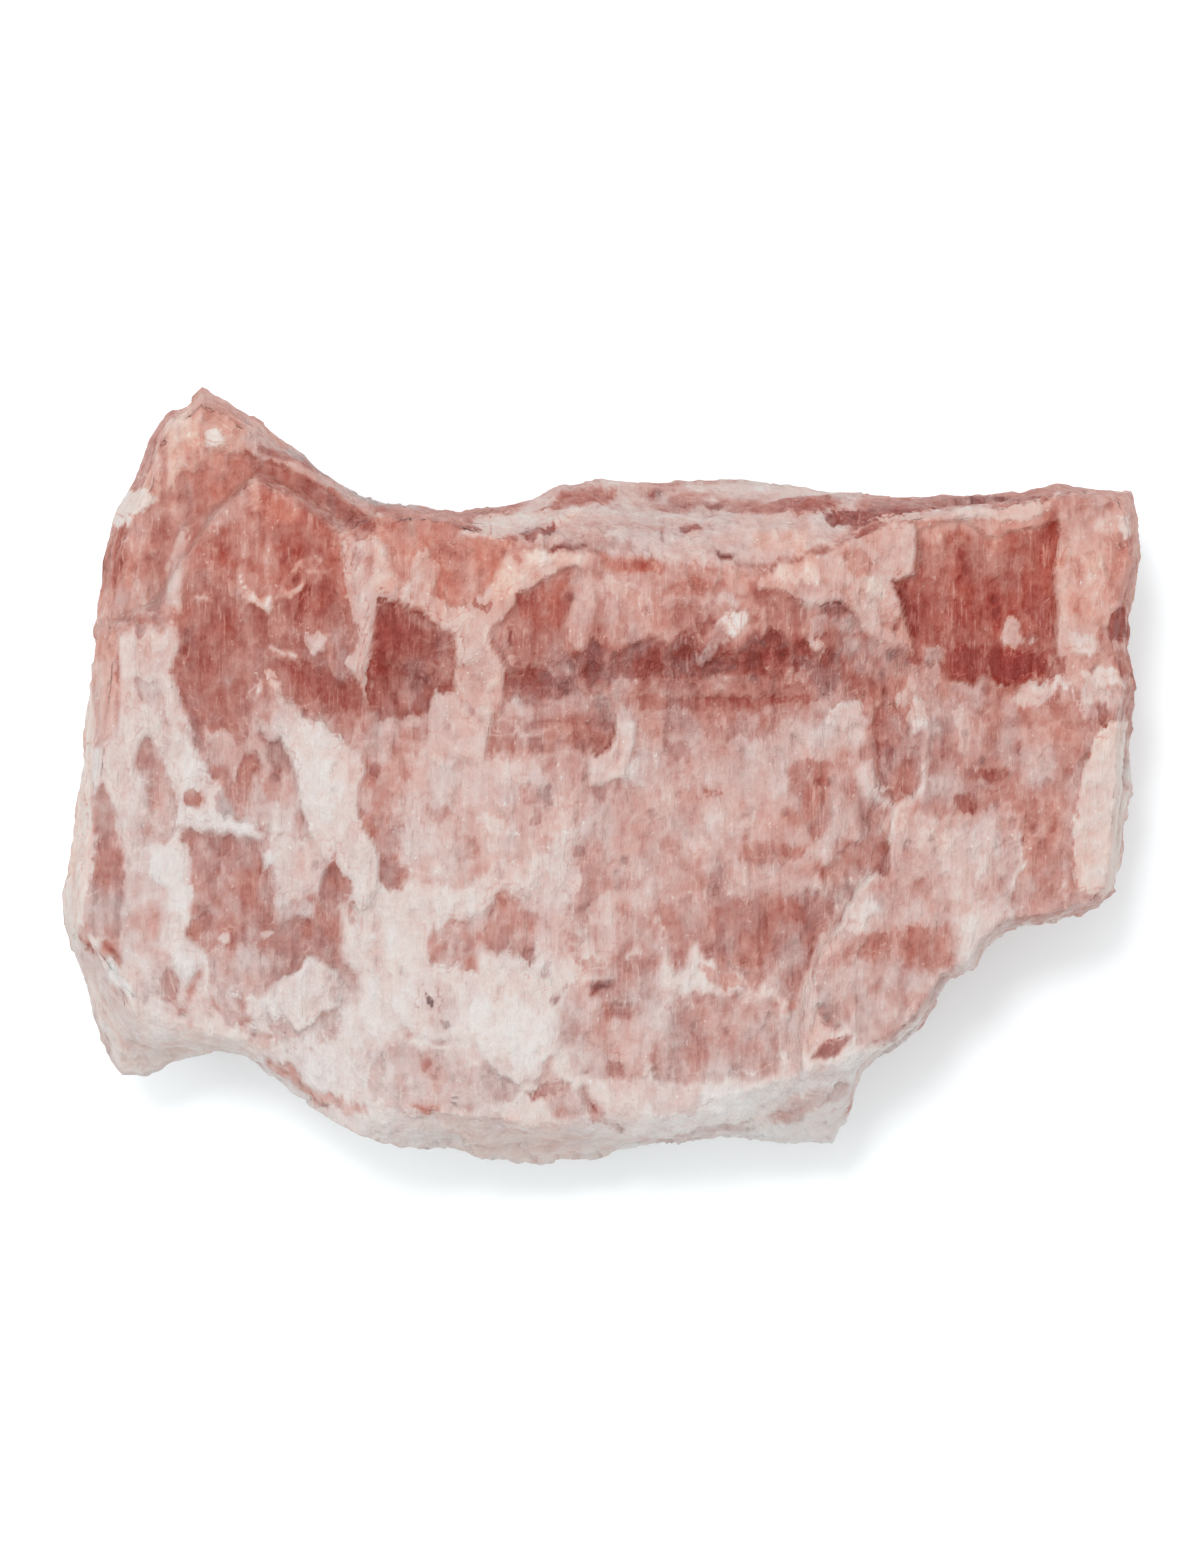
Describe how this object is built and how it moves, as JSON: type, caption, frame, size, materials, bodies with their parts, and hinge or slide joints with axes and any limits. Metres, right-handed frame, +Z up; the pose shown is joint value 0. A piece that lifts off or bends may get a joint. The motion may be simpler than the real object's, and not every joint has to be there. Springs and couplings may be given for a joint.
{
  "type": "raw calcite lump",
  "caption": "Rough lump of banded rose and white calcite, broken on every side, lying on its flattest face; a mineral specimen or shelf ornament.",
  "frame": {"origin": "under the middle of the lump's box, on the surface that it rests on", "axes": "+Z up from the resting face, +X along the length towards the pale blunt end, +Y towards the streaked bevel"},
  "size_m": [0.09, 0.0648, 0.0354],
  "materials": {
    "calcite": "matt to waxy broken stone, banded rose, brick red and chalk white"
  },
  "bodies": {
    "root": {"calcite_lump": "calcite"}
  },
  "joints": []
}
